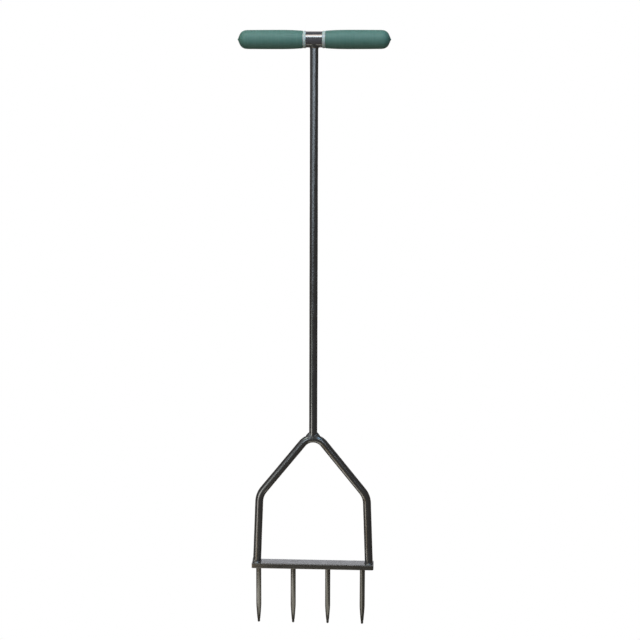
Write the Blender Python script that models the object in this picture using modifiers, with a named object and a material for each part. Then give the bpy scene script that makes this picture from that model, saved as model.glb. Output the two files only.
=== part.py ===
"""A lawn aerator fork: a welded steel push tool with four spikes under a foot bar.

A straight shaft carries a T handle at its top. At its bottom a bent yoke spreads to the
two ends of a flat foot bar, and the spikes stand under the bar. Every joint is a weld,
so the whole tool is one rigid body.

The frame is in metres with +Z up. Its origin is on the ground, under the shaft, level
with the points of the spikes. +X runs along the handle, and the user stands at -Y.
"""

import math

import bmesh
import bpy
from mathutils import Vector

# Driving dimensions, in metres.
TOTAL_HEIGHT = 0.940
HANDLE_LENGTH = 0.2338  # between the tips of the two grips
HANDLE_TUBE_LENGTH = 0.208
HANDLE_TUBE_RADIUS = 0.01215
HANDLE_TUBE_WALL = 0.0016

GRIP_RADIUS = 0.0144  # at the fullest part of the barrel
GRIP_FRONT_DROP = 0.0004  # how much the barrel narrows towards the tip
GRIP_BACK_DROP = 0.0013  # how much it narrows towards the collar
GRIP_FULLEST = 0.062  # from the tip
GRIP_NOSE_ANGLE = math.radians(66)  # between the blunt nose cone's side and the axis
GRIP_SHOULDER_RADIUS = 0.0115
GRIP_INNER_END = 0.0173  # from the middle of the handle
COLLAR_LENGTH = 0.0045
COLLAR_RADIUS = 0.0130

ROD_RADIUS = 0.00645  # half-inch bar with its coat: the shaft and the yoke
YOKE_CORNER_Z = 0.3181  # where the centre lines of the two arms would meet
YOKE_CORNER_BEND = 0.022
SHOULDER_X = 0.0857
SHOULDER_Z = 0.2121
SHOULDER_BEND = 0.033
LEG_X = 0.0900  # at the foot bar

BAR_LENGTH = 0.1952
BAR_WIDTH = 0.0254
BAR_THICKNESS = 0.0079
BAR_TOP = 0.1018
BAR_EDGE = 0.0009

TINE_COUNT = 4
TINE_FIRST_X = -0.0874
TINE_PITCH = 0.05574
TINE_RADIUS = 0.00412
TINE_POINT_LENGTH = 0.031
TINE_TIP_RADIUS = 0.0018

HANDLE_WELD_SLOPE = 0.407  # radius gained per unit of height
HANDLE_WELD_HEIGHT = 0.0100
YOKE_WELD_FOOT = 0.0110  # half its width in the two crotches over the yoke
YOKE_WELD_LEVELS = (0.0006, 0.0032, 0.0108)  # foot, widest level and top, over the apex
YOKE_WELD_FLATTEN = 0.74  # its depth over its width
YOKE_WELD_SHIFT = -0.0006  # the left crotch holds a little more metal
LEG_WELD_FOOT = 0.0086
LEG_WELD_HEIGHT = 0.0036
TINE_WELD_FOOT = 0.0060
TINE_WELD_HEIGHT = 0.0030
WELD_FULLNESS = 1.35  # 1 is a straight chamfer, 2 is a quarter round

# Clearance between solids that touch or are welded, and how far a cutter runs past.
GAP = 0.0003
OVERRUN = 0.010

# Facets of round pieces.
TUBE_SEGMENTS = 32
GRIP_SEGMENTS = 24
GRIP_SHOULDER_STEPS = 5
GRIP_BARREL_STEPS = 8
ROD_SEGMENTS = 24
TINE_SEGMENTS = 16
WELD_SEGMENTS = 24
YOKE_BEVEL_RESOLUTION = 8
DEGREES_PER_BEND_STEP = 8
MERGE = 0.00001

# Places that follow from the dimensions.
HANDLE_Z = TOTAL_HEIGHT - GRIP_RADIUS
BAR_BOTTOM = BAR_TOP - BAR_THICKNESS
TINE_XS = [TINE_FIRST_X + TINE_PITCH * i for i in range(TINE_COUNT)]

# (colour, roughness, metallic)
FINISHES = {
    "dark_coat": ((0.035, 0.035, 0.038), 0.42, 0.6),
    "handle_coat": ((0.060, 0.062, 0.075), 0.18, 0.8),
    "tine_coat": ((0.060, 0.057, 0.050), 0.38, 0.6),
    "weld_coat": ((0.045, 0.045, 0.048), 0.40, 0.6),
    "green_grip": ((0.085, 0.200, 0.165), 0.75, 0.0),
    "pale_collar": ((0.400, 0.520, 0.480), 0.55, 0.0),
}


def clear_scene():
    """Remove whatever objects the scene starts with."""
    for old in list(bpy.data.objects):
        bpy.data.objects.remove(old, do_unlink=True)


def make_collection(name):
    collection = bpy.data.collections.new(name)
    bpy.context.scene.collection.children.link(collection)
    return collection


def make_materials():
    """One Principled material for each finish."""
    materials = {}
    for name, (colour, roughness, metallic) in FINISHES.items():
        material = bpy.data.materials.new(name)
        material.use_nodes = True
        shader = material.node_tree.nodes["Principled BSDF"]
        shader.inputs["Base Color"].default_value = (*colour, 1.0)
        shader.inputs["Roughness"].default_value = roughness
        shader.inputs["Metallic"].default_value = metallic
        materials[name] = material
    return materials


clear_scene()
OBJECT = make_collection("lawn_aerator_fork")
CUTTERS = make_collection("cutters")
MATERIALS = make_materials()

ROOT = bpy.data.objects.new("fork_frame", None)
OBJECT.objects.link(ROOT)


# ---- helpers -------------------------------------------------------------------


def as_piece(piece, finish):
    """Put an object among the tool's pieces, with its finish."""
    piece.data.materials.clear()
    piece.data.materials.append(MATERIALS[finish])
    OBJECT.objects.link(piece)
    piece.parent = ROOT
    return piece


def as_cutter(cutter):
    """Put an object among the cutters, which aren't pieces of the tool."""
    CUTTERS.objects.link(cutter)
    cutter.hide_render = True
    cutter.display_type = "WIRE"
    return cutter


def shade_round(mesh):
    mesh.shade_smooth()
    mesh.set_sharp_from_angle(angle=math.radians(40))


def from_bmesh(name, bm):
    mesh = bpy.data.meshes.new(name)
    bm.to_mesh(mesh)
    bm.free()
    shade_round(mesh)
    return bpy.data.objects.new(name, mesh)


def cylinder(name, radius, start, end, segments):
    """A solid cylinder between two points."""
    start, end = Vector(start), Vector(end)
    bm = bmesh.new()
    bmesh.ops.create_cone(
        bm,
        cap_ends=True,
        segments=segments,
        radius1=radius,
        radius2=radius,
        depth=(end - start).length,
    )
    piece = from_bmesh(name, bm)
    piece.location = (start + end) / 2
    piece.rotation_mode = "QUATERNION"
    piece.rotation_quaternion = (end - start).to_track_quat("Z", "Y")
    return piece


def box(name, low, high):
    """A solid box between two corners."""
    low, high = Vector(low), Vector(high)
    bm = bmesh.new()
    bmesh.ops.create_cube(bm, size=1.0)
    bmesh.ops.scale(bm, vec=high - low, verts=bm.verts)
    piece = from_bmesh(name, bm)
    piece.location = (low + high) / 2
    return piece


def turned(name, profile, segments, ring=False):
    """A shape turned about Z from (radius, height) points that run down its outer side.

    A ring's profile is a closed outline away from the axis; any other profile starts and
    ends on the axis.
    """
    bm = bmesh.new()
    points = [bm.verts.new((radius, 0.0, height)) for radius, height in profile]
    for upper, lower in zip(points, points[1:]):
        bm.edges.new((upper, lower))
    if ring:
        bm.edges.new((points[-1], points[0]))
    piece = from_bmesh(name, bm)
    turn = piece.modifiers.new("turn", "SCREW")
    turn.axis = "Z"
    turn.steps = segments
    turn.render_steps = segments
    turn.use_merge_vertices = True
    turn.merge_threshold = MERGE
    return piece


def boolean(piece, other, operation):
    step = piece.modifiers.new(f"{operation.lower()} {other.name}", "BOOLEAN")
    step.operation = operation
    step.solver = "EXACT"
    step.object = other


def bent_path(corners, bends):
    """Points along a wire through the corners, with each inner corner rounded to a bend."""
    corners = [Vector(corner) for corner in corners]
    points = [corners[0]]
    for before, corner, after, bend in zip(corners, corners[1:], corners[2:], bends):
        incoming = (corner - before).normalized()
        outgoing = (after - corner).normalized()
        turn = incoming.angle(outgoing)
        start = corner - incoming * bend * math.tan(turn / 2)
        side = incoming.cross(outgoing).cross(incoming).normalized()
        steps = max(3, round(math.degrees(turn) / DEGREES_PER_BEND_STEP))
        for i in range(steps + 1):
            angle = turn * i / steps
            points.append(
                start
                + incoming * bend * math.sin(angle)
                + side * bend * (1 - math.cos(angle))
            )
    return points + [corners[-1]]


def bent_rod(name, points, radius):
    """A round rod along the points, as a closed mesh."""
    curve = bpy.data.curves.new(name, "CURVE")
    curve.dimensions = "3D"
    curve.bevel_depth = radius
    curve.bevel_resolution = YOKE_BEVEL_RESOLUTION
    curve.use_fill_caps = True
    spline = curve.splines.new("POLY")
    spline.points.add(len(points) - 1)
    for spot, point in zip(spline.points, points):
        spot.co = (*point, 1.0)
    guide = bpy.data.objects.new(name + "_guide", curve)
    bpy.context.scene.collection.objects.link(guide)
    bpy.context.view_layer.update()
    evaluated = guide.evaluated_get(bpy.context.evaluated_depsgraph_get())
    mesh = bpy.data.meshes.new_from_object(evaluated)
    placed = guide.matrix_world.copy()
    bpy.data.objects.remove(guide, do_unlink=True)
    bpy.data.curves.remove(curve)

    bm = bmesh.new()
    bm.from_mesh(mesh)
    bpy.data.meshes.remove(mesh)
    bmesh.ops.remove_doubles(bm, verts=bm.verts, dist=MERGE)
    bmesh.ops.recalc_face_normals(bm, faces=bm.faces)
    rod = from_bmesh(name, bm)
    rod.matrix_world = placed
    return rod


def fillet_profile(bore, foot, height, steps=5):
    """The outline of a fillet weld round a rod, standing on a surface at height 0."""
    outline = []
    for i in range(steps + 1):
        rise = 1 - i / steps
        spread = (1 - rise**WELD_FULLNESS) ** (1 / WELD_FULLNESS)
        outline.append((bore + (foot - bore) * spread, height * rise))
    return outline + [(bore, 0.0)]


# ---- clearances that the welded pieces keep to each other ----------------------


def yoke_points(leg_end_z):
    """The yoke's centre line, with its legs ending at a height."""
    lean = (LEG_X - SHOULDER_X) / (SHOULDER_Z - BAR_TOP)
    leg_end_x = LEG_X + lean * (BAR_TOP - leg_end_z)
    corners = [
        (-leg_end_x, 0.0, leg_end_z),
        (-SHOULDER_X, 0.0, SHOULDER_Z),
        (0.0, 0.0, YOKE_CORNER_Z),
        (SHOULDER_X, 0.0, SHOULDER_Z),
        (leg_end_x, 0.0, leg_end_z),
    ]
    return bent_path(corners, (SHOULDER_BEND, YOKE_CORNER_BEND, SHOULDER_BEND))


def yoke_apex_z():
    """The highest point of the yoke's centre line."""
    return max(point.z for point in yoke_points(BAR_TOP))


YOKE_APEX_Z = yoke_apex_z()

TUBE_SPACE = as_cutter(
    cylinder(
        "tube_space",
        HANDLE_TUBE_RADIUS + GAP,
        (-OVERRUN * 3, 0.0, HANDLE_Z),
        (OVERRUN * 3, 0.0, HANDLE_Z),
        TUBE_SEGMENTS * 2,
    )
)
SHAFT_SPACE = as_cutter(
    cylinder(
        "shaft_space",
        ROD_RADIUS + GAP,
        (0.0, 0.0, YOKE_APEX_Z - OVERRUN),
        (0.0, 0.0, HANDLE_Z),
        ROD_SEGMENTS,
    )
)
YOKE_SPACE = as_cutter(
    bent_rod("yoke_space", yoke_points(BAR_TOP - OVERRUN), ROD_RADIUS + GAP)
)
BAR_SPACE = as_cutter(
    box(
        "bar_space",
        (-BAR_LENGTH / 2 - OVERRUN, -BAR_WIDTH, BAR_BOTTOM - OVERRUN),
        (BAR_LENGTH / 2 + OVERRUN, BAR_WIDTH, BAR_TOP + GAP),
    )
)
ABOVE_BAR = as_cutter(
    box(
        "above_bar",
        (-BAR_LENGTH / 2, -BAR_WIDTH / 2, BAR_TOP + GAP),
        (BAR_LENGTH / 2, BAR_WIDTH / 2, BAR_TOP + OVERRUN),
    )
)


# ---- handle ----------------------------------------------------------------------


def make_handle_tube():
    """The hollow cross tube, which runs inside both grips."""
    bore = HANDLE_TUBE_RADIUS - HANDLE_TUBE_WALL
    half = HANDLE_TUBE_LENGTH / 2
    wall = [
        (HANDLE_TUBE_RADIUS, half),
        (HANDLE_TUBE_RADIUS, -half),
        (bore, -half),
        (bore, half),
    ]
    tube = as_piece(turned("handle_tube", wall, TUBE_SEGMENTS, ring=True), "handle_coat")
    tube.location = (0.0, 0.0, HANDLE_Z)
    tube.rotation_euler = (0.0, math.radians(90), 0.0)


def grip_barrel_radius(from_tip):
    """The barrel's outer radius: a slow crown that narrows faster towards the collar."""
    length = HANDLE_LENGTH / 2 - GRIP_INNER_END
    if from_tip < GRIP_FULLEST:
        reach = (GRIP_FULLEST - from_tip) / GRIP_FULLEST
        return GRIP_RADIUS - GRIP_FRONT_DROP * reach**2
    reach = (from_tip - GRIP_FULLEST) / (length - GRIP_FULLEST)
    return GRIP_RADIUS - GRIP_BACK_DROP * reach**2.6


def grip_profile():
    """A closed-end grip as (radius, height) points, down from its tip at height 0."""
    length = HANDLE_LENGTH / 2 - GRIP_INNER_END
    nose_cos = math.cos(GRIP_NOSE_ANGLE)
    nose_sin = math.sin(GRIP_NOSE_ANGLE)
    nose_radius = GRIP_RADIUS - GRIP_FRONT_DROP - GRIP_SHOULDER_RADIUS * (1 - nose_cos)
    nose_length = nose_radius * nose_cos / nose_sin
    shoulder_end = nose_length + GRIP_SHOULDER_RADIUS * nose_sin

    outline = [(0.0, 0.0)]
    for i in range(GRIP_SHOULDER_STEPS):
        angle = GRIP_NOSE_ANGLE * (1 - i / GRIP_SHOULDER_STEPS)
        radius = nose_radius + GRIP_SHOULDER_RADIUS * (math.cos(angle) - nose_cos)
        outline.append((radius, shoulder_end - GRIP_SHOULDER_RADIUS * math.sin(angle)))
    for i in range(GRIP_BARREL_STEPS + 1):
        from_tip = shoulder_end + (length - shoulder_end) * i / GRIP_BARREL_STEPS
        outline.append((grip_barrel_radius(from_tip), from_tip))

    bore = HANDLE_TUBE_RADIUS + GAP
    blind_end = (HANDLE_LENGTH - HANDLE_TUBE_LENGTH) / 2 - GAP
    outline += [(bore, length), (bore, blind_end), (0.0, blind_end)]
    return [(radius, -from_tip) for radius, from_tip in outline]


def make_grip_and_collar(side_name, side):
    """A push-on grip and the pale ring at its inner end, on one side of the handle."""
    grip = as_piece(
        turned(f"grip_{side_name}", grip_profile(), GRIP_SEGMENTS), "green_grip"
    )
    grip.location = (side * HANDLE_LENGTH / 2, 0.0, HANDLE_Z)
    grip.rotation_euler = (0.0, side * math.radians(90), 0.0)

    bore = HANDLE_TUBE_RADIUS + GAP
    thin_end = (COLLAR_RADIUS + bore) / 2
    ring = [
        (COLLAR_RADIUS, COLLAR_LENGTH),
        (COLLAR_RADIUS, COLLAR_LENGTH / 4),
        (thin_end, 0.0),
        (bore, 0.0),
        (bore, COLLAR_LENGTH),
    ]
    collar = as_piece(
        turned(f"grip_collar_{side_name}", ring, TUBE_SEGMENTS, ring=True), "pale_collar"
    )
    collar.location = (side * (GRIP_INNER_END - GAP - COLLAR_LENGTH), 0.0, HANDLE_Z)
    collar.rotation_euler = (0.0, side * math.radians(90), 0.0)


# ---- shaft and yoke ---------------------------------------------------------------


def make_shaft():
    """The straight bar, coped at its top to the tube and at its foot to the yoke."""
    shaft = as_piece(
        cylinder(
            "shaft",
            ROD_RADIUS,
            (0.0, 0.0, YOKE_APEX_Z),
            (0.0, 0.0, HANDLE_Z - HANDLE_TUBE_RADIUS / 2),
            ROD_SEGMENTS,
        ),
        "dark_coat",
    )
    boolean(shaft, TUBE_SPACE, "DIFFERENCE")
    boolean(shaft, YOKE_SPACE, "DIFFERENCE")


def make_yoke():
    """One bar bent at its apex and at both shoulders, its legs cut square on the bar."""
    yoke = as_piece(
        bent_rod("yoke", yoke_points(BAR_TOP - OVERRUN / 2), ROD_RADIUS), "dark_coat"
    )
    boolean(yoke, BAR_SPACE, "DIFFERENCE")


def make_handle_weld():
    """A flared weld round the top of the shaft, saddled under the tube."""
    foot = HANDLE_Z - HANDLE_TUBE_RADIUS - HANDLE_WELD_HEIGHT / 3
    thin = ROD_RADIUS + 2 * GAP
    flare = [
        (0.0, HANDLE_WELD_HEIGHT),
        (thin + HANDLE_WELD_SLOPE * HANDLE_WELD_HEIGHT, HANDLE_WELD_HEIGHT),
        (thin, 0.0),
        (0.0, 0.0),
    ]
    weld = as_piece(turned("handle_weld", flare, WELD_SEGMENTS), "weld_coat")
    weld.location = (0.0, 0.0, foot)
    boolean(weld, SHAFT_SPACE, "DIFFERENCE")
    boolean(weld, TUBE_SPACE, "DIFFERENCE")


def make_yoke_weld():
    """A bead round the foot of the shaft that fills the two crotches over the yoke."""
    foot_z, widest_z, top_z = YOKE_WELD_LEVELS
    bead = [(0.0, top_z)]
    bead += [
        (radius, widest_z + height)
        for radius, height in fillet_profile(ROD_RADIUS, YOKE_WELD_FOOT, top_z - widest_z)[:-1]
    ]
    bead += [(ROD_RADIUS, foot_z), (0.0, foot_z)]
    weld = as_piece(turned("yoke_weld", bead, WELD_SEGMENTS), "weld_coat")
    weld.location = (YOKE_WELD_SHIFT, 0.0, YOKE_APEX_Z)
    weld.scale = (1.0, YOKE_WELD_FLATTEN, 1.0)
    boolean(weld, SHAFT_SPACE, "DIFFERENCE")
    boolean(weld, YOKE_SPACE, "DIFFERENCE")


# ---- foot bar and spikes -----------------------------------------------------------


def make_foot_bar():
    """The flat bar, with its edges slightly rounded by rolling."""
    middle = Vector((0.0, 0.0, BAR_TOP - BAR_THICKNESS / 2))
    half = Vector((BAR_LENGTH, BAR_WIDTH, BAR_THICKNESS)) / 2
    bar = as_piece(box("foot_bar", middle - half, middle + half), "dark_coat")
    edges = bar.modifiers.new("rolled edges", "BEVEL")
    edges.width = BAR_EDGE
    edges.segments = 3
    edges.limit_method = "ANGLE"


def make_leg_weld(side_name, side):
    """A fillet round a leg's foot, trimmed to the bar's end."""
    fillet = [(0.0, LEG_WELD_HEIGHT)]
    fillet += fillet_profile(ROD_RADIUS, LEG_WELD_FOOT, LEG_WELD_HEIGHT)[:-1]
    fillet += [(LEG_WELD_FOOT, -OVERRUN / 4), (0.0, -OVERRUN / 4)]
    weld = as_piece(turned(f"leg_weld_{side_name}", fillet, WELD_SEGMENTS), "weld_coat")
    weld.location = (side * LEG_X, 0.0, BAR_TOP + GAP)
    boolean(weld, YOKE_SPACE, "DIFFERENCE")
    boolean(weld, ABOVE_BAR, "INTERSECT")


def tine_profile():
    """A round spike as (radius, height) points, from its square top down to its point."""
    outline = [(0.0, BAR_BOTTOM - GAP), (TINE_RADIUS, BAR_BOTTOM - GAP)]
    taper_end = TINE_TIP_RADIUS
    for i in range(6):
        along = i / 5
        radius = TINE_RADIUS - (TINE_RADIUS - TINE_TIP_RADIUS) * along**1.25
        outline.append((radius, TINE_POINT_LENGTH + (taper_end - TINE_POINT_LENGTH) * along))
    for angle in (math.radians(30), math.radians(60)):
        outline.append(
            (TINE_TIP_RADIUS * math.cos(angle), taper_end * (1 - math.sin(angle)))
        )
    return outline + [(0.0, 0.0)]


def make_tine(number, x):
    """One spike, butted under the bar, and the small weld round its top."""
    tine = as_piece(turned(f"tine_{number}", tine_profile(), TINE_SEGMENTS), "tine_coat")
    tine.location = (x, 0.0, 0.0)

    fillet = fillet_profile(TINE_RADIUS + GAP, TINE_WELD_FOOT, TINE_WELD_HEIGHT, steps=3)
    hanging = [(radius, -height) for radius, height in reversed(fillet)]
    weld = as_piece(
        turned(f"tine_weld_{number}", hanging, WELD_SEGMENTS, ring=True), "weld_coat"
    )
    weld.location = (x, 0.0, BAR_BOTTOM - GAP)


# ---- the tool ------------------------------------------------------------------------

SIDES = {"left": -1, "right": 1}

make_handle_tube()
for side_name, side in SIDES.items():
    make_grip_and_collar(side_name, side)
make_shaft()
make_yoke()
make_handle_weld()
make_yoke_weld()
make_foot_bar()
for side_name, side in SIDES.items():
    make_leg_weld(side_name, side)
for number, x in enumerate(TINE_XS, start=1):
    make_tine(number, x)
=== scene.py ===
"""Looks of the lawn aerator fork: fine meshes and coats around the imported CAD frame.

Every piece is welded or pushed on, so all of them ride on the one body, "root".
Lengths are in metres in the frame of the part: +Z is up, +X runs along the handle, the
user stands at -Y, and the points of the spikes are at height 0.
"""

import math

import bpy
from mathutils import Matrix, Vector, noise


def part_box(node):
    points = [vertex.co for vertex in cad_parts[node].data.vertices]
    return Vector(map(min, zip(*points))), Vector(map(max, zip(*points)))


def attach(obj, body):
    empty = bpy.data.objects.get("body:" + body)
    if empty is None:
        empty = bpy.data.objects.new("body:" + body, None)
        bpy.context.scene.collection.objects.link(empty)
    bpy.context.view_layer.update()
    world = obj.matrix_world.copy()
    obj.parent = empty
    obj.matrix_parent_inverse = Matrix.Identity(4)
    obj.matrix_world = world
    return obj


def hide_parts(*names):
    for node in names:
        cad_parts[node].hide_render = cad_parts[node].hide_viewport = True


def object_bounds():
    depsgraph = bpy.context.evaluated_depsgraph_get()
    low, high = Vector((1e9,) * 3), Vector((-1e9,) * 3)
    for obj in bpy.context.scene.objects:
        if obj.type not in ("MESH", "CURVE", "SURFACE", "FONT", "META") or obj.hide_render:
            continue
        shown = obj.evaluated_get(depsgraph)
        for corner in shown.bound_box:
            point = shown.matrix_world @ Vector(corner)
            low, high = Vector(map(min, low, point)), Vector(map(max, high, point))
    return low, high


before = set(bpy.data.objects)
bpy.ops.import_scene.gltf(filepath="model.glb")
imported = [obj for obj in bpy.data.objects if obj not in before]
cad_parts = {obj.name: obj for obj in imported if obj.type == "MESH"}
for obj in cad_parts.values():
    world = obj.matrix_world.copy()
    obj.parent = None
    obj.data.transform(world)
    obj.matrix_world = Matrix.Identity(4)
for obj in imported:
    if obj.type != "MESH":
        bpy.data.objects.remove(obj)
CAD_LOW, CAD_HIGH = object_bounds()

SIDES = {"left": -1, "right": 1}


# ---- places and sizes read from the frame -------------------------------------------


def node_centre(node):
    low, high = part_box(node)
    return (low + high) / 2


def node_size(node):
    low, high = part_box(node)
    return high - low


HANDLE_Z = node_centre("handle_tube").z
TUBE_RADIUS = node_size("handle_tube").z / 2
TUBE_HALF_LENGTH = node_size("handle_tube").x / 2
GRIP_RADIUS = CAD_HIGH.z - HANDLE_Z
GRIP_TIP = CAD_HIGH.x
GRIP_LENGTH = GRIP_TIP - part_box("grip_right")[0].x
COLLAR_RADIUS = node_size("grip_collar_right").z / 2
COLLAR_START, COLLAR_END = (corner.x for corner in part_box("grip_collar_right"))

ROD_RADIUS = node_size("shaft").x / 2
YOKE_APEX_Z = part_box("yoke")[1].z - ROD_RADIUS
LEG_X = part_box("yoke")[1].x - ROD_RADIUS

BAR_LOW, BAR_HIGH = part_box("foot_bar")
BAR_BOTTOM, BAR_TOP = BAR_LOW.z, BAR_HIGH.z
BAR_WIDTH = BAR_HIGH.y - BAR_LOW.y

TINE_NODES = sorted(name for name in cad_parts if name.removeprefix("tine_").isdigit())
TINE_RADIUS = node_size("tine_1").x / 2


# ---- driving dimensions that a box can't tell ----------------------------------------

TUBE_WALL = 0.0016

# The grip's outline.
GRIP_FULLEST = 0.062  # from the tip
GRIP_FRONT_DROP = 0.0004  # how much the barrel narrows towards the tip
GRIP_BACK_DROP = 0.0013  # how much it narrows towards the collar
GRIP_BACK_CURVE = 2.6
GRIP_NOSE_ANGLE = math.radians(66)  # between the blunt nose cone's side and the axis
GRIP_SHOULDER_RADIUS = 0.0115
GRIP_NIPPLE_RADIUS = 0.0019
GRIP_NIPPLE_LENGTH = 0.0014
GRIP_NIPPLE_CURVE = 0.8
GRIP_NIPPLE_SKIRT = 0.0012  # how fast the nipple's foot runs out over the nose
GRIP_NIPPLE_SKIRT_LIFT = 0.6  # 0 leaves the nose a plain cone
GRIP_LIP_RADIUS = 0.0007

COLLAR_LIP = 0.0002  # how far the collar's rounding stops above the bare tube
COLLAR_CHAMFER = 0.05  # at the grip, as a part of the collar's length

# The bends of the yoke's centre line.
SHOULDER_X = 0.0857
SHOULDER_Z = 0.2121
SHOULDER_BEND = 0.033
YOKE_CORNER_Z = 0.3181
YOKE_CORNER_BEND = 0.022

BAR_EDGE = 0.0007
BAR_END_EDGE = 0.0006
BAR_WORN_CORNER = 0.0022

TINE_POINT_LENGTH = 0.031
TINE_POINT_CURVE = 1.25  # 1 is a straight cone
TINE_TIP_RADIUS = 0.0020
TINE_NECK_Z = 0.0046  # a slight waist just above the blunt tip
TINE_NECK_DEPTH = 0.00022
TINE_NECK_LENGTH = 0.0016

# How far a bar wanders from a perfect surface, and over what length.
ROD_WANDER = 0.00004
ROD_WANDER_LENGTH = 0.018

# Weld beads. A reach is from the rod's axis, and a height or a drop is along it. A
# fullness of 1 is a flat face, and 2 is a quarter round.
HANDLE_BEAD_REACH = 0.0070
HANDLE_BEAD_DROP = 0.0010
HANDLE_BEAD_FRONT_REACH = 0.0026  # more of each at the front and back
HANDLE_BEAD_FRONT_DROP = 0.0020
YOKE_BEAD_REACHES = {"left": 0.0094, "right": 0.0086}
YOKE_BEAD_HEIGHT = 0.0046
YOKE_BEAD_CROTCH_HEIGHT = 0.0056  # more of it in the two crotches
YOKE_BEAD_WRAP = math.radians(78)  # how far round the yoke it reaches at front and back
BEAD_SWELL_CURVE = 1.5
SHAFT_BEAD_FULLNESS = 1.3
LEG_BEAD_REACH = 0.0073
LEG_BEAD_HEIGHT = 0.0014
LEG_BEAD_FRONT_REACH = 0.0030  # more of each at the front
LEG_BEAD_FRONT_HEIGHT = 0.0012
LEG_BEAD_FLARES = {"left": 0.0046, "right": 0.0}  # how far it climbs its leg outside
LEG_BEAD_MARGIN = 0.0002  # to the bar's end
LEG_BEAD_TUCK = 0.0004  # how far its outer toe dips at the bar's end
LEG_BEAD_FULLNESS = 1.5
TINE_BEAD_REACH = 0.0058
TINE_BEAD_HEIGHT = 0.0026
TINE_BEAD_UNEVENNESS = 0.0008
TINE_BEAD_FULLNESS = 1.4
WELD_SINK = 0.0003  # how deep the hidden sides of a joint are buried

# The face of a bead: ripples left by the weld pool, and lumps.
ROD_BEAD_RIPPLES = 26
TINE_BEAD_RIPPLES = 17
WELD_RIPPLE = 0.00012
WELD_RIPPLE_BOW = 0.55  # as a part of a ripple's width
WELD_RIPPLE_JITTER = 0.5
WELD_RIPPLE_JITTER_LENGTH = 0.006
WELD_RIPPLE_LEAN = 0.7  # 1 is an even wave
WELD_RIPPLE_SHIFT = 0.37  # from one seed to the next
WELD_LUMP = 0.00022
WELD_LUMP_LENGTH = 0.0045

# Facets.
HANDLE_SEGMENTS = 128
ROD_SEGMENTS = 64
ROD_STEP = 0.002
WELD_SEGMENTS = 160
WELD_STEPS = 12
TINE_SEGMENTS = 48
SHARP_ANGLE = math.radians(50)


# ---- mesh helpers -----------------------------------------------------------------


def add_mesh(name, points, faces):
    """An object from points and faces, smooth-shaded except over its sharp edges."""
    mesh = bpy.data.meshes.new(name)
    mesh.from_pydata([tuple(point) for point in points], [], faces)
    mesh.validate()
    mesh.shade_smooth()
    mesh.set_sharp_from_angle(angle=SHARP_ANGLE)
    piece = bpy.data.objects.new(name, mesh)
    bpy.context.scene.collection.objects.link(piece)
    return piece


def loft(name, rings, start_pole=None, end_pole=None, looped=False):
    """A skin over rings that all have the same number of points.

    A pole is a point that closes an end. A looped skin joins its last ring to its first.
    """
    around = len(rings[0])
    points = [point for ring in rings for point in ring]
    faces = []
    pairs = list(zip(range(len(rings)), range(1, len(rings))))
    if looped:
        pairs.append((len(rings) - 1, 0))
    for first, second in pairs:
        for i in range(around):
            j = (i + 1) % around
            faces.append(
                (first * around + i, first * around + j, second * around + j, second * around + i)
            )
    for pole, ring, order in ((start_pole, 0, -1), (end_pole, len(rings) - 1, 1)):
        if pole is None:
            continue
        points.append(pole)
        tip = len(points) - 1
        for i in range(around):
            face = (ring * around + i, ring * around + (i + 1) % around, tip)
            faces.append(face[::order])
    return add_mesh(name, points, faces)


def turned(name, outline, start, axis, segments, ring=False):
    """A shape turned about an axis from (distance along it, radius) points.

    The outline of a ring is closed; any other starts and ends on the axis.
    """
    start, axis = Vector(start), Vector(axis).normalized()
    side = axis.orthogonal().normalized()
    other = axis.cross(side)

    def circle(along, radius):
        return [
            start + axis * along
            + (side * math.cos(turn) + other * math.sin(turn)) * radius
            for turn in turns(segments)
        ]

    if ring:
        return loft(name, [circle(*spot) for spot in outline], looped=True)
    poles = [start + axis * along for along, _ in (outline[0], outline[-1])]
    return loft(name, [circle(*spot) for spot in outline[1:-1]], *poles)


def arc(centre, radius, first, last, steps):
    """Points of an arc as (along, across) pairs, with its angles in degrees."""
    return [
        (
            centre[0] + radius * math.cos(math.radians(angle)),
            centre[1] + radius * math.sin(math.radians(angle)),
        )
        for angle in spread(first, last, steps)
    ]


def spread(first, last, steps):
    """Evenly spaced numbers, with both ends."""
    return [first + (last - first) * i / steps for i in range(steps + 1)]


def turns(segments):
    """Evenly spaced angles round a full turn."""
    return [math.tau * i / segments for i in range(segments)]


def level_way(turn):
    """The level direction at an angle from +X."""
    return Vector((math.cos(turn), math.sin(turn), 0.0))


def upwards(height):
    return Vector((0.0, 0.0, height))


def wander(point, size, length):
    """A smooth random offset, at most about `size`, that is the same in every run."""
    return noise.noise(Vector(point) / length) * size


def as_piece(piece, material, node):
    """Dress a piece, put it on the tool's body and let it stand for its CAD node."""
    piece.data.materials.append(material)
    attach(piece, "root")
    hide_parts(node)


# ---- material helpers --------------------------------------------------------------


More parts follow.
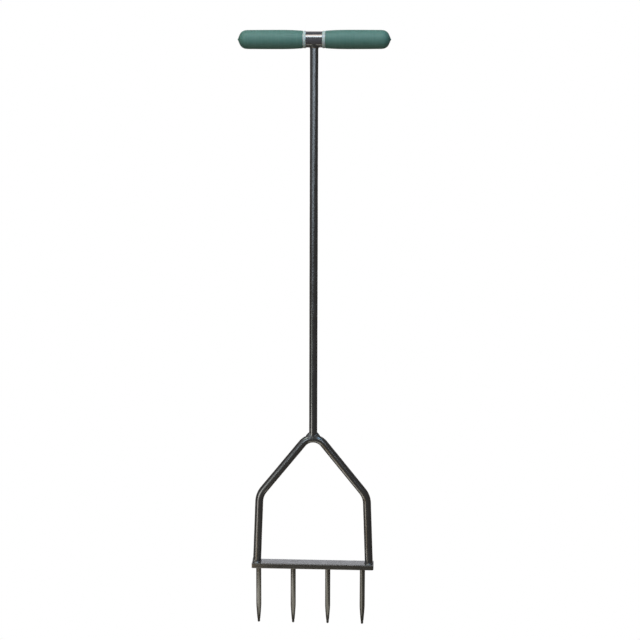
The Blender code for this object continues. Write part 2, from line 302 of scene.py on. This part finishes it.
class Nodes:
    """A short way to wire one Principled material that is shaded by object position."""

    def __init__(self, name):
        self.material = bpy.data.materials.new(name)
        self.material.use_nodes = True
        self.tree = self.material.node_tree
        self.shader = self.tree.nodes["Principled BSDF"]
        self.place = self.add("ShaderNodeTexCoord").outputs["Object"]

    def add(self, kind, **settings):
        node = self.tree.nodes.new(kind)
        for key, value in settings.items():
            setattr(node, key, value)
        return node

    def link(self, source, target):
        self.tree.links.new(source, target)

    def noise(self, per_metre, detail=3.0):
        """Cloudy noise with so many features per metre, or a number of them for each axis."""
        node = self.add("ShaderNodeTexNoise")
        node.inputs["Detail"].default_value = detail
        if isinstance(per_metre, tuple):
            mapping = self.add("ShaderNodeMapping")
            mapping.inputs["Scale"].default_value = per_metre
            self.link(self.place, mapping.inputs["Vector"])
            self.link(mapping.outputs["Vector"], node.inputs["Vector"])
            node.inputs["Scale"].default_value = 1.0
        else:
            self.link(self.place, node.inputs["Vector"])
            node.inputs["Scale"].default_value = per_metre
        return node.outputs["Fac"]

    def cells(self, per_metre, smoothness=0.6):
        node = self.add("ShaderNodeTexVoronoi", feature="SMOOTH_F1")
        node.inputs["Scale"].default_value = per_metre
        node.inputs["Smoothness"].default_value = smoothness
        self.link(self.place, node.inputs["Vector"])
        return node.outputs["Distance"]

    def remap(self, value, from_low, from_high, to_low=0.0, to_high=1.0):
        """Stretch one range of a value over another, without passing its ends."""
        node = self.add("ShaderNodeMapRange")
        for socket, number in zip(node.inputs[1:5], (from_low, from_high, to_low, to_high)):
            socket.default_value = number
        self.link(value, node.inputs["Value"])
        return node.outputs["Result"]

    def blend(self, factor, first, second):
        """A colour between two colours, each a tuple or an output."""
        node = self.add("ShaderNodeMix", data_type="RGBA")
        self.link(factor, node.inputs["Factor"])
        for socket, colour in ((node.inputs[6], first), (node.inputs[7], second)):
            if isinstance(colour, tuple):
                socket.default_value = (*colour, 1.0)
            else:
                self.link(colour, socket)
        return node.outputs[2]

    def bump(self, height, distance, under=None):
        node = self.add("ShaderNodeBump")
        node.inputs["Distance"].default_value = distance
        node.inputs["Strength"].default_value = 1.0
        self.link(height, node.inputs["Height"])
        if under is not None:
            self.link(under, node.inputs["Normal"])
        return node.outputs["Normal"]

    def finish(self, colour, roughness, normal, **numbers):
        """Feed the shader; numbers are sockets that are the same all over."""
        for source, name in ((colour, "Base Color"), (roughness, "Roughness"), (normal, "Normal")):
            self.link(source, self.shader.inputs[name])
        for name, value in numbers.items():
            self.shader.inputs[name.replace("_", " ")].default_value = value
        return self.material


# ---- materials ---------------------------------------------------------------------

ENAMEL_IOR = 1.9
GLOSS_ENAMEL_IOR = 2.15
PLASTIC_IOR = 1.5
FLECK_GAIN = 1.5  # how much lighter the flecks between dimples are than the dark tone

# The darker and the lighter tone of each coat.
ROD_TONES = ((0.015, 0.015, 0.016), (0.022, 0.022, 0.023))
WELD_TONES = ((0.016, 0.016, 0.017), (0.026, 0.026, 0.028))
TINE_TONES = ((0.022, 0.021, 0.018), (0.032, 0.030, 0.026))
BAR_TONES = ((0.018, 0.017, 0.016), (0.030, 0.028, 0.026))
TUBE_TONES = ((0.046, 0.046, 0.056), (0.068, 0.068, 0.076))
GRIP_TONES = ((0.055, 0.144, 0.119), (0.067, 0.160, 0.133))
GRIP_BLOOM = (0.101, 0.183, 0.160)
COLLAR_TONES = ((0.35, 0.42, 0.40), (0.41, 0.46, 0.45))


def make_hammer_coat(name, tones, roughness, dimple_depth):
    """A hammered stove enamel: shallow dimples a few millimetres wide, over fine grain."""
    coat = Nodes(name)
    dimples = coat.cells(per_metre=290)
    grain = coat.noise(per_metre=1500, detail=2.0)
    patches = coat.noise(per_metre=70, detail=4.0)
    normal = coat.bump(dimples, distance=dimple_depth)
    normal = coat.bump(grain, distance=0.00001, under=normal)
    tone = coat.blend(coat.remap(patches, 0.35, 0.65), *tones)
    fleck = tuple(channel * FLECK_GAIN for channel in tones[0])
    colour = coat.blend(coat.remap(dimples, 0.1, 0.7), tone, fleck)
    rough = coat.remap(patches, 0.3, 0.7, roughness - 0.05, roughness + 0.06)
    return coat.finish(colour, rough, normal, IOR=ENAMEL_IOR)


def make_rolled_coat():
    """Enamel over the rolled flat bar: smoother, with faint streaks along its length."""
    coat = Nodes("bar_enamel")
    streaks = coat.noise(per_metre=(25, 900, 900))
    waves = coat.noise(per_metre=90)
    grain = coat.noise(per_metre=1500, detail=2.0)
    normal = coat.bump(streaks, distance=0.000012)
    normal = coat.bump(waves, distance=0.00006, under=normal)
    normal = coat.bump(grain, distance=0.000006, under=normal)
    colour = coat.blend(coat.remap(streaks, 0.35, 0.65), *BAR_TONES)
    rough = coat.remap(waves, 0.3, 0.7, 0.17, 0.23)
    return coat.finish(colour, rough, normal, IOR=ENAMEL_IOR)


def make_gloss_coat():
    """The smooth glossy enamel of the cross tube."""
    coat = Nodes("gloss_enamel")
    ripple = coat.noise(per_metre=140, detail=2.0)
    peel = coat.noise(per_metre=900, detail=2.0)
    normal = coat.bump(ripple, distance=0.00012)
    normal = coat.bump(peel, distance=0.000008, under=normal)
    dust = coat.noise(per_metre=2600, detail=4.0)
    colour = coat.blend(coat.remap(dust, 0.45, 0.75), *TUBE_TONES)
    rough = coat.remap(ripple, 0.3, 0.7, 0.10, 0.16)
    return coat.finish(colour, rough, normal, IOR=GLOSS_ENAMEL_IOR)


def make_grip_vinyl():
    """Matte green vinyl, marked by faint rings round the grip and a fine grain."""
    vinyl = Nodes("green_vinyl")
    rings = vinyl.noise(per_metre=(900, 30, 30))
    mottle = vinyl.noise(per_metre=110, detail=4.0)
    grain = vinyl.noise(per_metre=3200)
    normal = vinyl.bump(rings, distance=0.00003)
    normal = vinyl.bump(grain, distance=0.00003, under=normal)
    tone = vinyl.blend(vinyl.remap(mottle, 0.35, 0.65), *GRIP_TONES)
    bloom = vinyl.remap(rings, 0.45, 0.80, 0.0, 0.5)
    colour = vinyl.blend(bloom, tone, GRIP_BLOOM)
    rough = vinyl.remap(mottle, 0.3, 0.7, 0.55, 0.66)
    return vinyl.finish(colour, rough, normal, IOR=PLASTIC_IOR)


def make_collar_plastic():
    """Pale, slightly milky plastic."""
    plastic = Nodes("pale_plastic")
    cloud = plastic.noise(per_metre=160)
    grain = plastic.noise(per_metre=2500, detail=2.0)
    normal = plastic.bump(grain, distance=0.00002)
    colour = plastic.blend(plastic.remap(cloud, 0.3, 0.7), *COLLAR_TONES)
    rough = plastic.remap(cloud, 0.3, 0.7, 0.40, 0.50)
    return plastic.finish(
        colour, rough, normal, IOR=PLASTIC_IOR, Subsurface_Weight=0.15, Subsurface_Scale=0.002
    )


ROD_COAT = make_hammer_coat("rod_enamel", ROD_TONES, roughness=0.19, dimple_depth=0.000035)
WELD_COAT = make_hammer_coat("weld_enamel", WELD_TONES, roughness=0.32, dimple_depth=0.00003)
TINE_COAT = make_hammer_coat("tine_enamel", TINE_TONES, roughness=0.22, dimple_depth=0.00001)
BAR_COAT = make_rolled_coat()
TUBE_COAT = make_gloss_coat()
GRIP_VINYL = make_grip_vinyl()
COLLAR_PLASTIC = make_collar_plastic()


# ---- handle ----------------------------------------------------------------------------


def make_handle_tube():
    """The cross tube, hollow to its ends."""
    inner = TUBE_RADIUS - TUBE_WALL
    stations = spread(-TUBE_HALF_LENGTH, TUBE_HALF_LENGTH, steps=160)
    outline = [(along, TUBE_RADIUS) for along in stations]
    outline += [(TUBE_HALF_LENGTH, inner), (-TUBE_HALF_LENGTH, inner)]
    tube = turned(
        "cross_tube", outline, (0, 0, HANDLE_Z), (1, 0, 0), HANDLE_SEGMENTS, ring=True
    )
    as_piece(tube, TUBE_COAT, "handle_tube")


def grip_barrel_radius(from_tip):
    """The barrel is fullest past its middle and narrows faster towards the collar."""
    if from_tip < GRIP_FULLEST:
        reach = (GRIP_FULLEST - from_tip) / GRIP_FULLEST
        return GRIP_RADIUS - GRIP_FRONT_DROP * reach**2
    reach = (from_tip - GRIP_FULLEST) / (GRIP_LENGTH - GRIP_FULLEST)
    return GRIP_RADIUS - GRIP_BACK_DROP * reach**GRIP_BACK_CURVE


def grip_outline():
    """From the moulding nipple at the tip, over the nose and barrel, into the bore."""
    nose_cos, nose_sin = math.cos(GRIP_NOSE_ANGLE), math.sin(GRIP_NOSE_ANGLE)
    nose_radius = GRIP_RADIUS - GRIP_FRONT_DROP - GRIP_SHOULDER_RADIUS * (1 - nose_cos)
    shoulder_end = nose_radius * nose_cos / nose_sin + GRIP_SHOULDER_RADIUS * nose_sin

    outline = [(0.0, 0.0)]
    for part in spread(0.1, 1.0, steps=9):
        dome = GRIP_NIPPLE_LENGTH * (1 - math.sqrt(1 - part**2)) ** GRIP_NIPPLE_CURVE
        outline.append((dome, GRIP_NIPPLE_RADIUS * part))
    for radius in spread(GRIP_NIPPLE_RADIUS, nose_radius, steps=10)[1:-1]:
        cone = radius * nose_cos / nose_sin
        skirt = math.exp(-(radius - GRIP_NIPPLE_RADIUS) / GRIP_NIPPLE_SKIRT)
        lift = (GRIP_NIPPLE_LENGTH - cone) * GRIP_NIPPLE_SKIRT_LIFT * skirt
        outline.append((cone + lift, radius))
    for turn in spread(GRIP_NOSE_ANGLE, 0.0, steps=16):
        outline.append(
            (
                shoulder_end - GRIP_SHOULDER_RADIUS * math.sin(turn),
                nose_radius + GRIP_SHOULDER_RADIUS * (math.cos(turn) - nose_cos),
            )
        )
    lip_start = GRIP_LENGTH - GRIP_LIP_RADIUS
    for along in spread(shoulder_end, lip_start, steps=60)[1:]:
        outline.append((along, grip_barrel_radius(along)))
    lip_centre = (lip_start, grip_barrel_radius(lip_start) - GRIP_LIP_RADIUS)
    outline += arc(lip_centre, GRIP_LIP_RADIUS, 90, 0, steps=6)[1:]

    bore_end = GRIP_TIP - TUBE_HALF_LENGTH
    return outline + [(GRIP_LENGTH, TUBE_RADIUS), (bore_end, TUBE_RADIUS), (bore_end, 0.0)]


def make_grip(side_name, side):
    grip = turned(
        f"vinyl_grip_{side_name}",
        grip_outline(),
        (side * GRIP_TIP, 0, HANDLE_Z),
        (-side, 0, 0),
        HANDLE_SEGMENTS,
    )
    as_piece(grip, GRIP_VINYL, f"grip_{side_name}")


def make_collar(side_name, side):
    """The pale ring at the grip's inner end, rounded down towards the bare tube."""
    length = COLLAR_END - COLLAR_START
    round_off = COLLAR_RADIUS - TUBE_RADIUS - COLLAR_LIP
    chamfer = length * COLLAR_CHAMFER
    outline = arc((round_off, COLLAR_RADIUS - round_off), round_off, 180, 90, steps=8)
    outline += [(length * 0.6, COLLAR_RADIUS), (length - chamfer, COLLAR_RADIUS)]
    outline += [(length, COLLAR_RADIUS - chamfer), (length, TUBE_RADIUS), (0.0, TUBE_RADIUS)]
    collar = turned(
        f"grip_ring_{side_name}",
        outline,
        (side * COLLAR_START, 0, HANDLE_Z),
        (side, 0, 0),
        HANDLE_SEGMENTS,
        ring=True,
    )
    as_piece(collar, COLLAR_PLASTIC, f"grip_collar_{side_name}")


# ---- shaft and yoke ----------------------------------------------------------------------

APEX_BEND_CENTRE = Vector((0.0, 0.0, YOKE_APEX_Z - YOKE_CORNER_BEND))


def under_tube(x, y):
    """The point of the handle tube's lower surface at a place."""
    return Vector((x, y, HANDLE_Z - math.sqrt(max(TUBE_RADIUS**2 - y**2, 0.0))))


def on_yoke_apex(x, y):
    """The point of the yoke's upper surface at a place near its apex."""
    rise = YOKE_CORNER_BEND + math.sqrt(max(ROD_RADIUS**2 - y**2, 0.0))
    return Vector((x, y, APEX_BEND_CENTRE.z + math.sqrt(rise**2 - x**2)))


def rod_ring(centre, ways):
    """A section of a rod, with the slow wandering of its surface."""
    ring = []
    for way in ways:
        offset = wander(centre + way * ROD_RADIUS, ROD_WANDER, ROD_WANDER_LENGTH)
        ring.append(centre + way * (ROD_RADIUS - ROD_WANDER + offset))
    return ring


def make_shaft():
    """The straight bar, coped to the tube above it and to the yoke below it."""
    ways = [level_way(turn) for turn in turns(ROD_SEGMENTS)]
    # The even sections stop a little short of both copes.
    foot = YOKE_APEX_Z + ROD_RADIUS * 2
    head = HANDLE_Z - TUBE_RADIUS * 1.6
    cope_radii = [ROD_RADIUS * part for part in (0.25, 0.5, 0.75, 1.0)]

    def coped(surface, radius):
        return [surface(way.x * radius, way.y * radius) for way in ways]

    rings = [coped(on_yoke_apex, radius) for radius in cope_radii]
    rings += [
        rod_ring(upwards(z), ways) for z in spread(foot, head, round((head - foot) / ROD_STEP))
    ]
    rings += [coped(under_tube, radius) for radius in reversed(cope_radii)]
    shaft = loft("round_shaft", rings, on_yoke_apex(0, 0), under_tube(0, 0))
    as_piece(shaft, ROD_COAT, "shaft")


def yoke_line():
    """(point, direction) samples along the yoke's centre line, from left foot to right."""
    lean = (LEG_X - SHOULDER_X) / (SHOULDER_Z - BAR_TOP)
    foot_x = LEG_X + lean * WELD_SINK
    corners = [
        Vector(corner)
        for corner in (
            (-foot_x, 0.0, BAR_TOP - WELD_SINK),
            (-SHOULDER_X, 0.0, SHOULDER_Z),
            (0.0, 0.0, YOKE_CORNER_Z),
            (SHOULDER_X, 0.0, SHOULDER_Z),
            (foot_x, 0.0, BAR_TOP - WELD_SINK),
        )
    ]
    samples = []
    straight_start = corners[0]
    bends = (SHOULDER_BEND, YOKE_CORNER_BEND, SHOULDER_BEND)
    for before, corner, after, bend in zip(corners, corners[1:], corners[2:], bends):
        incoming = (corner - before).normalized()
        outgoing = (after - corner).normalized()
        turn = incoming.angle(outgoing)
        bend_start = corner - incoming * bend * math.tan(turn / 2)
        length = (bend_start - straight_start).length
        steps = max(1, round(length / ROD_STEP))
        samples += [
            (straight_start.lerp(bend_start, i / steps), incoming) for i in range(steps)
        ]
        inward = incoming.cross(outgoing).cross(incoming).normalized()
        steps = max(8, round(bend * turn / (ROD_STEP / 2)))
        for angle in spread(0.0, turn, steps)[:-1]:
            point = bend_start + bend * (
                incoming * math.sin(angle) + inward * (1 - math.cos(angle))
            )
            samples.append((point, incoming * math.cos(angle) + inward * math.sin(angle)))
        straight_start = corner + outgoing * bend * math.tan(turn / 2)
    direction = (corners[-1] - straight_start).normalized()
    steps = round((corners[-1] - straight_start).length / ROD_STEP)
    samples += [
        (straight_start.lerp(corners[-1], i / steps), direction) for i in range(steps + 1)
    ]
    return samples


def make_yoke():
    """One bar, bent at both shoulders and at its apex, with its feet on the foot bar."""
    depth = Vector((0.0, 1.0, 0.0))
    line = yoke_line()
    rings = []
    for centre, along in line:
        across = along.cross(depth)
        ways = [
            across * math.cos(turn) + depth * math.sin(turn) for turn in turns(ROD_SEGMENTS)
        ]
        rings.append(rod_ring(centre, ways))
    yoke = loft("bent_yoke", rings, line[0][0], line[-1][0])
    as_piece(yoke, ROD_COAT, "yoke")


# ---- welds -------------------------------------------------------------------------------


def make_bead(name, spots, ripples, fullness, seed, node):
    """A fillet bead round a joint, as a closed skin.

    `spots(way)` gives the bead's toe on the rod, its toe on the other piece and the
    corner between the two surfaces, in a level direction from the rod's axis. Each seed
    gives the ripples and lumps of the face another arrangement.
    """
    rings = []
    for turn in turns(WELD_SEGMENTS):
        upper, lower, corner = spots(level_way(turn))
        to_upper, to_lower = upper - corner, lower - corner
        outward = (to_upper + to_lower).normalized()
        ring = [corner - outward * WELD_SINK, upper - to_lower.normalized() * WELD_SINK]
        for part in spread(0.0, 1.0, WELD_STEPS):
            swing = part * math.pi / 2
            point = (
                corner
                + to_upper * math.cos(swing) ** (2 / fullness)
                + to_lower * math.sin(swing) ** (2 / fullness)
            )
            middle = math.sin(math.pi * part)
            jitter = wander(point, WELD_RIPPLE_JITTER, WELD_RIPPLE_JITTER_LENGTH)
            phase = turn * ripples / math.tau + WELD_RIPPLE_BOW * middle + jitter
            wave = (phase + seed * WELD_RIPPLE_SHIFT) % 1.0
            crest = math.sin(math.pi * wave**WELD_RIPPLE_LEAN)
            lump = wander(point + Vector((seed, 0, 0)), WELD_LUMP, WELD_LUMP_LENGTH)
            point += outward * (middle * (WELD_RIPPLE * (crest - 0.5) + lump))
            ring.append(point)
        ring.append(lower - to_upper.normalized() * WELD_SINK)
        rings.append(ring)
    bead = loft(name, rings, looped=True)
    as_piece(bead, WELD_COAT, node)


def handle_weld_spots(way):
    """Round the top of the shaft, reaching further up the tube at its front and back."""
    front = abs(way.y)
    reach = HANDLE_BEAD_REACH + HANDLE_BEAD_FRONT_REACH * front**BEAD_SWELL_CURVE
    drop = HANDLE_BEAD_DROP + HANDLE_BEAD_FRONT_DROP * front
    corner = under_tube(*(way * ROD_RADIUS).xy)
    return corner - upwards(drop), under_tube(*(way * reach).xy), corner


def yoke_weld_spots(way):
    """Round the foot of the shaft, thick in the two crotches and thin at front and back."""
    corner = on_yoke_apex(*(way * ROD_RADIUS).xy)
    height = YOKE_BEAD_HEIGHT + YOKE_BEAD_CROTCH_HEIGHT * abs(way.x) ** BEAD_SWELL_CURVE
    reach = YOKE_BEAD_REACHES["left" if way.x < 0 else "right"]
    bend_angle = reach * way.x / YOKE_CORNER_BEND
    wrap = YOKE_BEAD_WRAP * way.y
    outward = Vector((math.sin(bend_angle), 0.0, math.cos(bend_angle)))
    around = outward * math.cos(wrap) + Vector((0.0, 1.0, 0.0)) * math.sin(wrap)
    on_yoke = APEX_BEND_CENTRE + outward * YOKE_CORNER_BEND + around * ROD_RADIUS
    return Vector((corner.x, corner.y, YOKE_APEX_Z + height)), on_yoke, corner


def leg_weld_spots(side_name, side):
    """Round a leg's foot on the bar, fuller in front, cut short where the bar ends."""
    foot = Vector((side * LEG_X, 0.0, BAR_TOP))
    room = BAR_HIGH.x - LEG_X - LEG_BEAD_MARGIN

    def spots(way):
        outer = max(way.x * side, 0.0)
        front = max(-way.y, 0.0) ** 2
        reach = LEG_BEAD_REACH + LEG_BEAD_FRONT_REACH * front
        if outer > 0:
            reach = min(reach, room / outer)
        height = LEG_BEAD_HEIGHT + LEG_BEAD_FRONT_HEIGHT * front
        height += LEG_BEAD_FLARES[side_name] * outer**2
        corner = foot + way * ROD_RADIUS
        toe = foot + way * reach - upwards(LEG_BEAD_TUCK * outer)
        return corner + upwards(height), toe, corner

    return spots


def tine_weld_spots(x):
    """A small bead of uneven height round the top of a spike, under the bar."""
    top = Vector((x, 0.0, BAR_BOTTOM))

    def spots(way):
        corner = top + way * TINE_RADIUS
        # The noise is read far apart for each spike, so that no two beads are alike.
        noise_place = (x * 50, way.x * 0.01, way.y * 0.01)
        height = TINE_BEAD_HEIGHT + wander(noise_place, TINE_BEAD_UNEVENNESS, length=0.008)
        return corner - upwards(height), top + way * TINE_BEAD_REACH, corner

    return spots


# ---- foot bar and spikes -----------------------------------------------------------------


def bar_section(inset):
    """The bar's rounded outline in (y, z), drawn in by an inset at its sheared ends."""
    half_width, half_height = BAR_WIDTH / 2 - inset, (BAR_TOP - BAR_BOTTOM) / 2 - inset
    points = []
    corners = ((1, 1, 0), (-1, 1, 90), (-1, -1, 180), (1, -1, 270))
    for side_y, side_z, first in corners:
        centre = (side_y * (half_width - BAR_EDGE), side_z * (half_height - BAR_EDGE))
        points += arc(centre, BAR_EDGE, first, first + 90, steps=6)
        if side_y == side_z:
            flat = spread(centre[0], -centre[0], steps=12)[1:-1]
            points += [(y, side_z * half_height) for y in flat]
        else:
            flat = spread(centre[1], -centre[1], steps=4)[1:-1]
            points += [(side_y * half_width, z) for z in flat]
    return points


def worn_corner(point):
    """How far the lower right corner of the bar is rounded back at a point."""
    near_end = (point.x - (BAR_HIGH.x - BAR_WORN_CORNER)) / BAR_WORN_CORNER
    below = (BAR_BOTTOM + BAR_WORN_CORNER - point.z) / BAR_WORN_CORNER
    if near_end <= 0 or below <= 0:
        return 0.0
    return near_end * BAR_WORN_CORNER * (1 - math.sqrt(max(1 - min(below, 1.0) ** 2, 0.0)))


def make_foot_bar():
    """The rolled flat bar: sheared ends, and one lower corner knocked rounder."""
    middle_z = (BAR_TOP + BAR_BOTTOM) / 2
    end_edge = [
        (BAR_END_EDGE * (1 - math.sin(turn)), BAR_END_EDGE * (1 - math.cos(turn)))
        for turn in spread(math.pi / 2, 0.0, steps=5)[:-1]
    ]
    run = spread(BAR_LOW.x + BAR_END_EDGE, BAR_HIGH.x - BAR_END_EDGE, steps=120)
    stations = [(BAR_LOW.x + from_end, inset) for from_end, inset in end_edge]
    stations += [(x, 0.0) for x in run]
    stations += [(BAR_HIGH.x - from_end, inset) for from_end, inset in reversed(end_edge)]
    rings = []
    for x, inset in stations:
        ring = [Vector((x, y, middle_z + z)) for y, z in bar_section(inset)]
        for point in ring:
            point.x -= worn_corner(point)
        rings.append(ring)
    bar = loft(
        "flat_foot_bar",
        rings,
        Vector((BAR_LOW.x, 0, middle_z)),
        Vector((BAR_HIGH.x, 0, middle_z)),
    )
    as_piece(bar, BAR_COAT, "foot_bar")


def tine_outline():
    """(height, radius) points from the blunt point up to the bar."""
    ball = TINE_TIP_RADIUS
    outline = [(0.0, 0.0)]
    outline += [
        (ball - ball * math.cos(turn), ball * math.sin(turn))
        for turn in spread(0.2, math.pi / 2, steps=8)
    ]
    for part in spread(0.0, 1.0, steps=28)[1:]:
        z = ball + (TINE_POINT_LENGTH - ball) * part
        taper = ball + (TINE_RADIUS - ball) * (1 - (1 - part) ** TINE_POINT_CURVE)
        neck = TINE_NECK_DEPTH * math.exp(-(((z - TINE_NECK_Z) / TINE_NECK_LENGTH) ** 2))
        outline.append((z, taper - neck))
    outline += [(z, TINE_RADIUS) for z in spread(TINE_POINT_LENGTH, BAR_BOTTOM, steps=30)[1:]]
    return outline + [(BAR_BOTTOM, 0.0)]


def make_tine(node):
    """A spike and the bead round its top."""
    x = node_centre(node).x
    number = node.rsplit("_", 1)[1]
    tine = turned(f"spike_{number}", tine_outline(), (x, 0, 0), (0, 0, 1), TINE_SEGMENTS)
    as_piece(tine, TINE_COAT, node)
    make_bead(
        f"spike_bead_{number}",
        tine_weld_spots(x),
        TINE_BEAD_RIPPLES,
        TINE_BEAD_FULLNESS,
        seed=int(number),
        node=f"tine_weld_{number}",
    )


# ---- the studio ----------------------------------------------------------------------------

# Where the wall lights stand round the tool: their distance, and the height of the
# place that their angles are measured from, for the whole tool or for the handle alone.
WALL_DISTANCE = 2.55
TOOL_MIDDLE_Z = 0.45

GROUND_LIGHT_Z = 0.004
WORLD_COLOUR = (0.14, 0.12, 0.095)

STUDIO_RADIUS = 9.0
STUDIO_CORNER = 3.0  # the radius of the curve between floor and wall
STUDIO_WALL_TOP = 9.0
STUDIO_ROOF_EDGE = 14.0
STUDIO_ROOF_TOP = 15.0


def look_from(place, towards, roll=0.0):
    """A matrix that puts -Z of a camera or light along a line of sight."""
    sight = (Vector(towards) - Vector(place)).to_track_quat("-Z", "Y").to_matrix().to_4x4()
    return Matrix.Translation(place) @ sight @ Matrix.Rotation(roll, 4, "Z")


def make_camera():
    """The photograph's view: from a little below the handle, slightly to the right."""
    distance, height = 2.0, 0.773
    turn, pitch, roll = math.radians(2.77), math.radians(7.913), math.radians(0.19)
    pan, sideways = math.radians(0.022), 0.011
    data = bpy.data.cameras.new("camera")
    data.sensor_width = 36.0
    data.lens = 72.5
    camera = bpy.data.objects.new("camera", data)
    bpy.context.scene.collection.objects.link(camera)
    yaw = Matrix.Rotation(turn, 4, "Z")
    place = yaw @ Vector((sideways, -distance, height))
    sight = yaw @ Vector((-math.sin(pan), math.cos(pitch), -math.sin(pitch)))
    camera.matrix_world = look_from(place, place + sight, roll)
    bpy.context.scene.camera = camera


def softbox(name, place, towards, width, height, glow):
    """A rectangular light that the camera doesn't see; glow is its red, green and blue."""
    data = bpy.data.lights.new(name, "AREA")
    data.shape = "RECTANGLE"
    data.size, data.size_y = width, height
    data.energy = max(glow) * width * height * math.pi
    data.color = [channel / max(glow) for channel in glow]
    light = bpy.data.objects.new(name, data)
    bpy.context.scene.collection.objects.link(light)
    light.matrix_world = look_from(place, towards)
    light.visible_camera = False


def wall_light(name, azimuths, elevations, glow, centre_z=TOOL_MIDDLE_Z):
    """A softbox between angles seen from the tool; azimuth 0 is the user's side, 90 is +X."""
    azimuth, elevation = (math.radians(sum(pair) / 2) for pair in (azimuths, elevations))
    half_azimuth, half_elevation = (
        math.radians(last - first) / 2 for first, last in (azimuths, elevations)
    )
    level = math.cos(elevation)
    way = Vector((math.sin(azimuth) * level, -math.cos(azimuth) * level, math.sin(elevation)))
    centre = upwards(centre_z)
    width = 2 * WALL_DISTANCE * math.tan(half_azimuth) * level
    height = 2 * WALL_DISTANCE * math.tan(half_elevation)
    softbox(name, centre + way * WALL_DISTANCE, centre, width, height, glow)


def ground_light(name, place, width, depth, glow):
    """A bright patch of ground that shines upwards."""
    low = Vector((*place, GROUND_LIGHT_Z))
    # The aim is tilted by a hair, because straight up would leave the patch's turn open.
    softbox(name, low, low + Vector((0.0, 0.001, 1.0)), width, depth, glow)


def bounce_card(name, place, width, low, high, glow):
    """An upright card beside the tool, turned towards it."""
    middle = (low + high) / 2
    softbox(name, (*place, middle), (0.0, 0.0, middle), width, high - low, glow)


def make_lights():
    """The photograph's light: high softboxes over the handle, low ones for the rods."""
    wall_light("backdrop", (150, 210), (2, 13), (1.4, 1.45, 1.6))
    wall_light("rear_low", (170, 190), (-9, -3), (2.6, 2.8, 2.9))
    wall_light("rear_fill", (145, 215), (38, 62), (0.7, 0.7, 0.7))
    wall_light("low_right", (8, 30), (8, 18), (3.7, 4.2, 4.8))
    wall_light("low_left", (-28, -10), (-1, 18), (3.5, 4.2, 4.7))
    wall_light("far_left", (-65, -45), (-1, 32), (0.75, 0.75, 0.85))
    wall_light("key", (-12, 12), (30, 50), (5.6, 6.3, 6.5), HANDLE_Z)
    wall_light("high_left", (-70, -35), (30, 50), (4.3, 5.2, 4.8), HANDLE_Z)
    wall_light("top_left", (-70, 12), (50, 68), (4.9, 4.2, 3.7), HANDLE_Z)
    wall_light("top_right", (12, 50), (30, 68), (1.8, 3.2, 4.6), HANDLE_Z)
    ground_light("ground_near", (-0.16, -0.12), 0.12, 0.16, (2.8, 2.7, 2.4))
    ground_light("ground_middle", (-0.25, -0.33), 0.24, 0.20, (1.1, 0.8, 0.4))
    ground_light("ground_points", (-0.01, -0.10), 0.17, 0.16, (1.3, 1.25, 1.05))
    bounce_card("near_card", (-0.32, -0.30), 0.18, 0.005, 0.26, (3.1, 2.95, 2.75))
    bounce_card("tall_card", (-0.55, -0.55), 0.18, 0.12, 0.42, (2.3, 2.5, 2.2))
    bounce_card("rear_low_card", (0.0, 0.40), 0.12, 0.005, 0.09, (2.0, 1.9, 1.8))


def make_studio():
    """A plain pale floor that curves up into walls and a roof all round, and a dim world.

    The floor glows by itself and only the camera sees it, so it is evenly pale and the
    lights alone shape the reflections in the coats.
    """
    profile = [(STUDIO_RADIUS * part, 0.0) for part in (0.05, 0.2, 0.45, 0.7)]
    profile += [
        (
            STUDIO_RADIUS - STUDIO_CORNER + STUDIO_CORNER * math.sin(turn),
            STUDIO_CORNER - STUDIO_CORNER * math.cos(turn),
        )
        for turn in spread(0.0, math.pi / 2, steps=12)
    ]
    profile += [(STUDIO_RADIUS, STUDIO_WALL_TOP), (STUDIO_RADIUS * 0.6, STUDIO_ROOF_EDGE)]
    rings = [
        [level_way(turn) * radius + upwards(z) for turn in turns(96)] for radius, z in profile
    ]
    studio = loft("studio_floor", rings, upwards(0.0), upwards(STUDIO_ROOF_TOP))
    paint = bpy.data.materials.new("studio_paint")
    paint.use_nodes = True
    tree = paint.node_tree
    tree.nodes.remove(tree.nodes["Principled BSDF"])
    glow = tree.nodes.new("ShaderNodeEmission")
    tree.links.new(glow.outputs["Emission"], tree.nodes["Material Output"].inputs["Surface"])
    studio.data.materials.append(paint)
    studio.visible_diffuse = False
    studio.visible_glossy = False

    world = bpy.data.worlds.new("studio_air")
    bpy.context.scene.world = world
    world.use_nodes = True
    world.node_tree.nodes["Background"].inputs["Color"].default_value = (*WORLD_COLOUR, 1.0)
    bpy.context.scene.view_settings.view_transform = "Standard"


# ---- the tool --------------------------------------------------------------------------------

make_handle_tube()
for side_name, side in SIDES.items():
    make_grip(side_name, side)
    make_collar(side_name, side)
make_shaft()
make_yoke()
for name, spots, seed, node in (
    ("handle_bead", handle_weld_spots, 11, "handle_weld"),
    ("yoke_bead", yoke_weld_spots, 12, "yoke_weld"),
):
    make_bead(name, spots, ROD_BEAD_RIPPLES, SHAFT_BEAD_FULLNESS, seed, node)
make_foot_bar()
for side_name, side in SIDES.items():
    make_bead(
        f"leg_bead_{side_name}",
        leg_weld_spots(side_name, side),
        ROD_BEAD_RIPPLES,
        LEG_BEAD_FULLNESS,
        seed=13 + side,
        node=f"leg_weld_{side_name}",
    )
for node in TINE_NODES:
    make_tine(node)

make_studio()
make_lights()
make_camera()
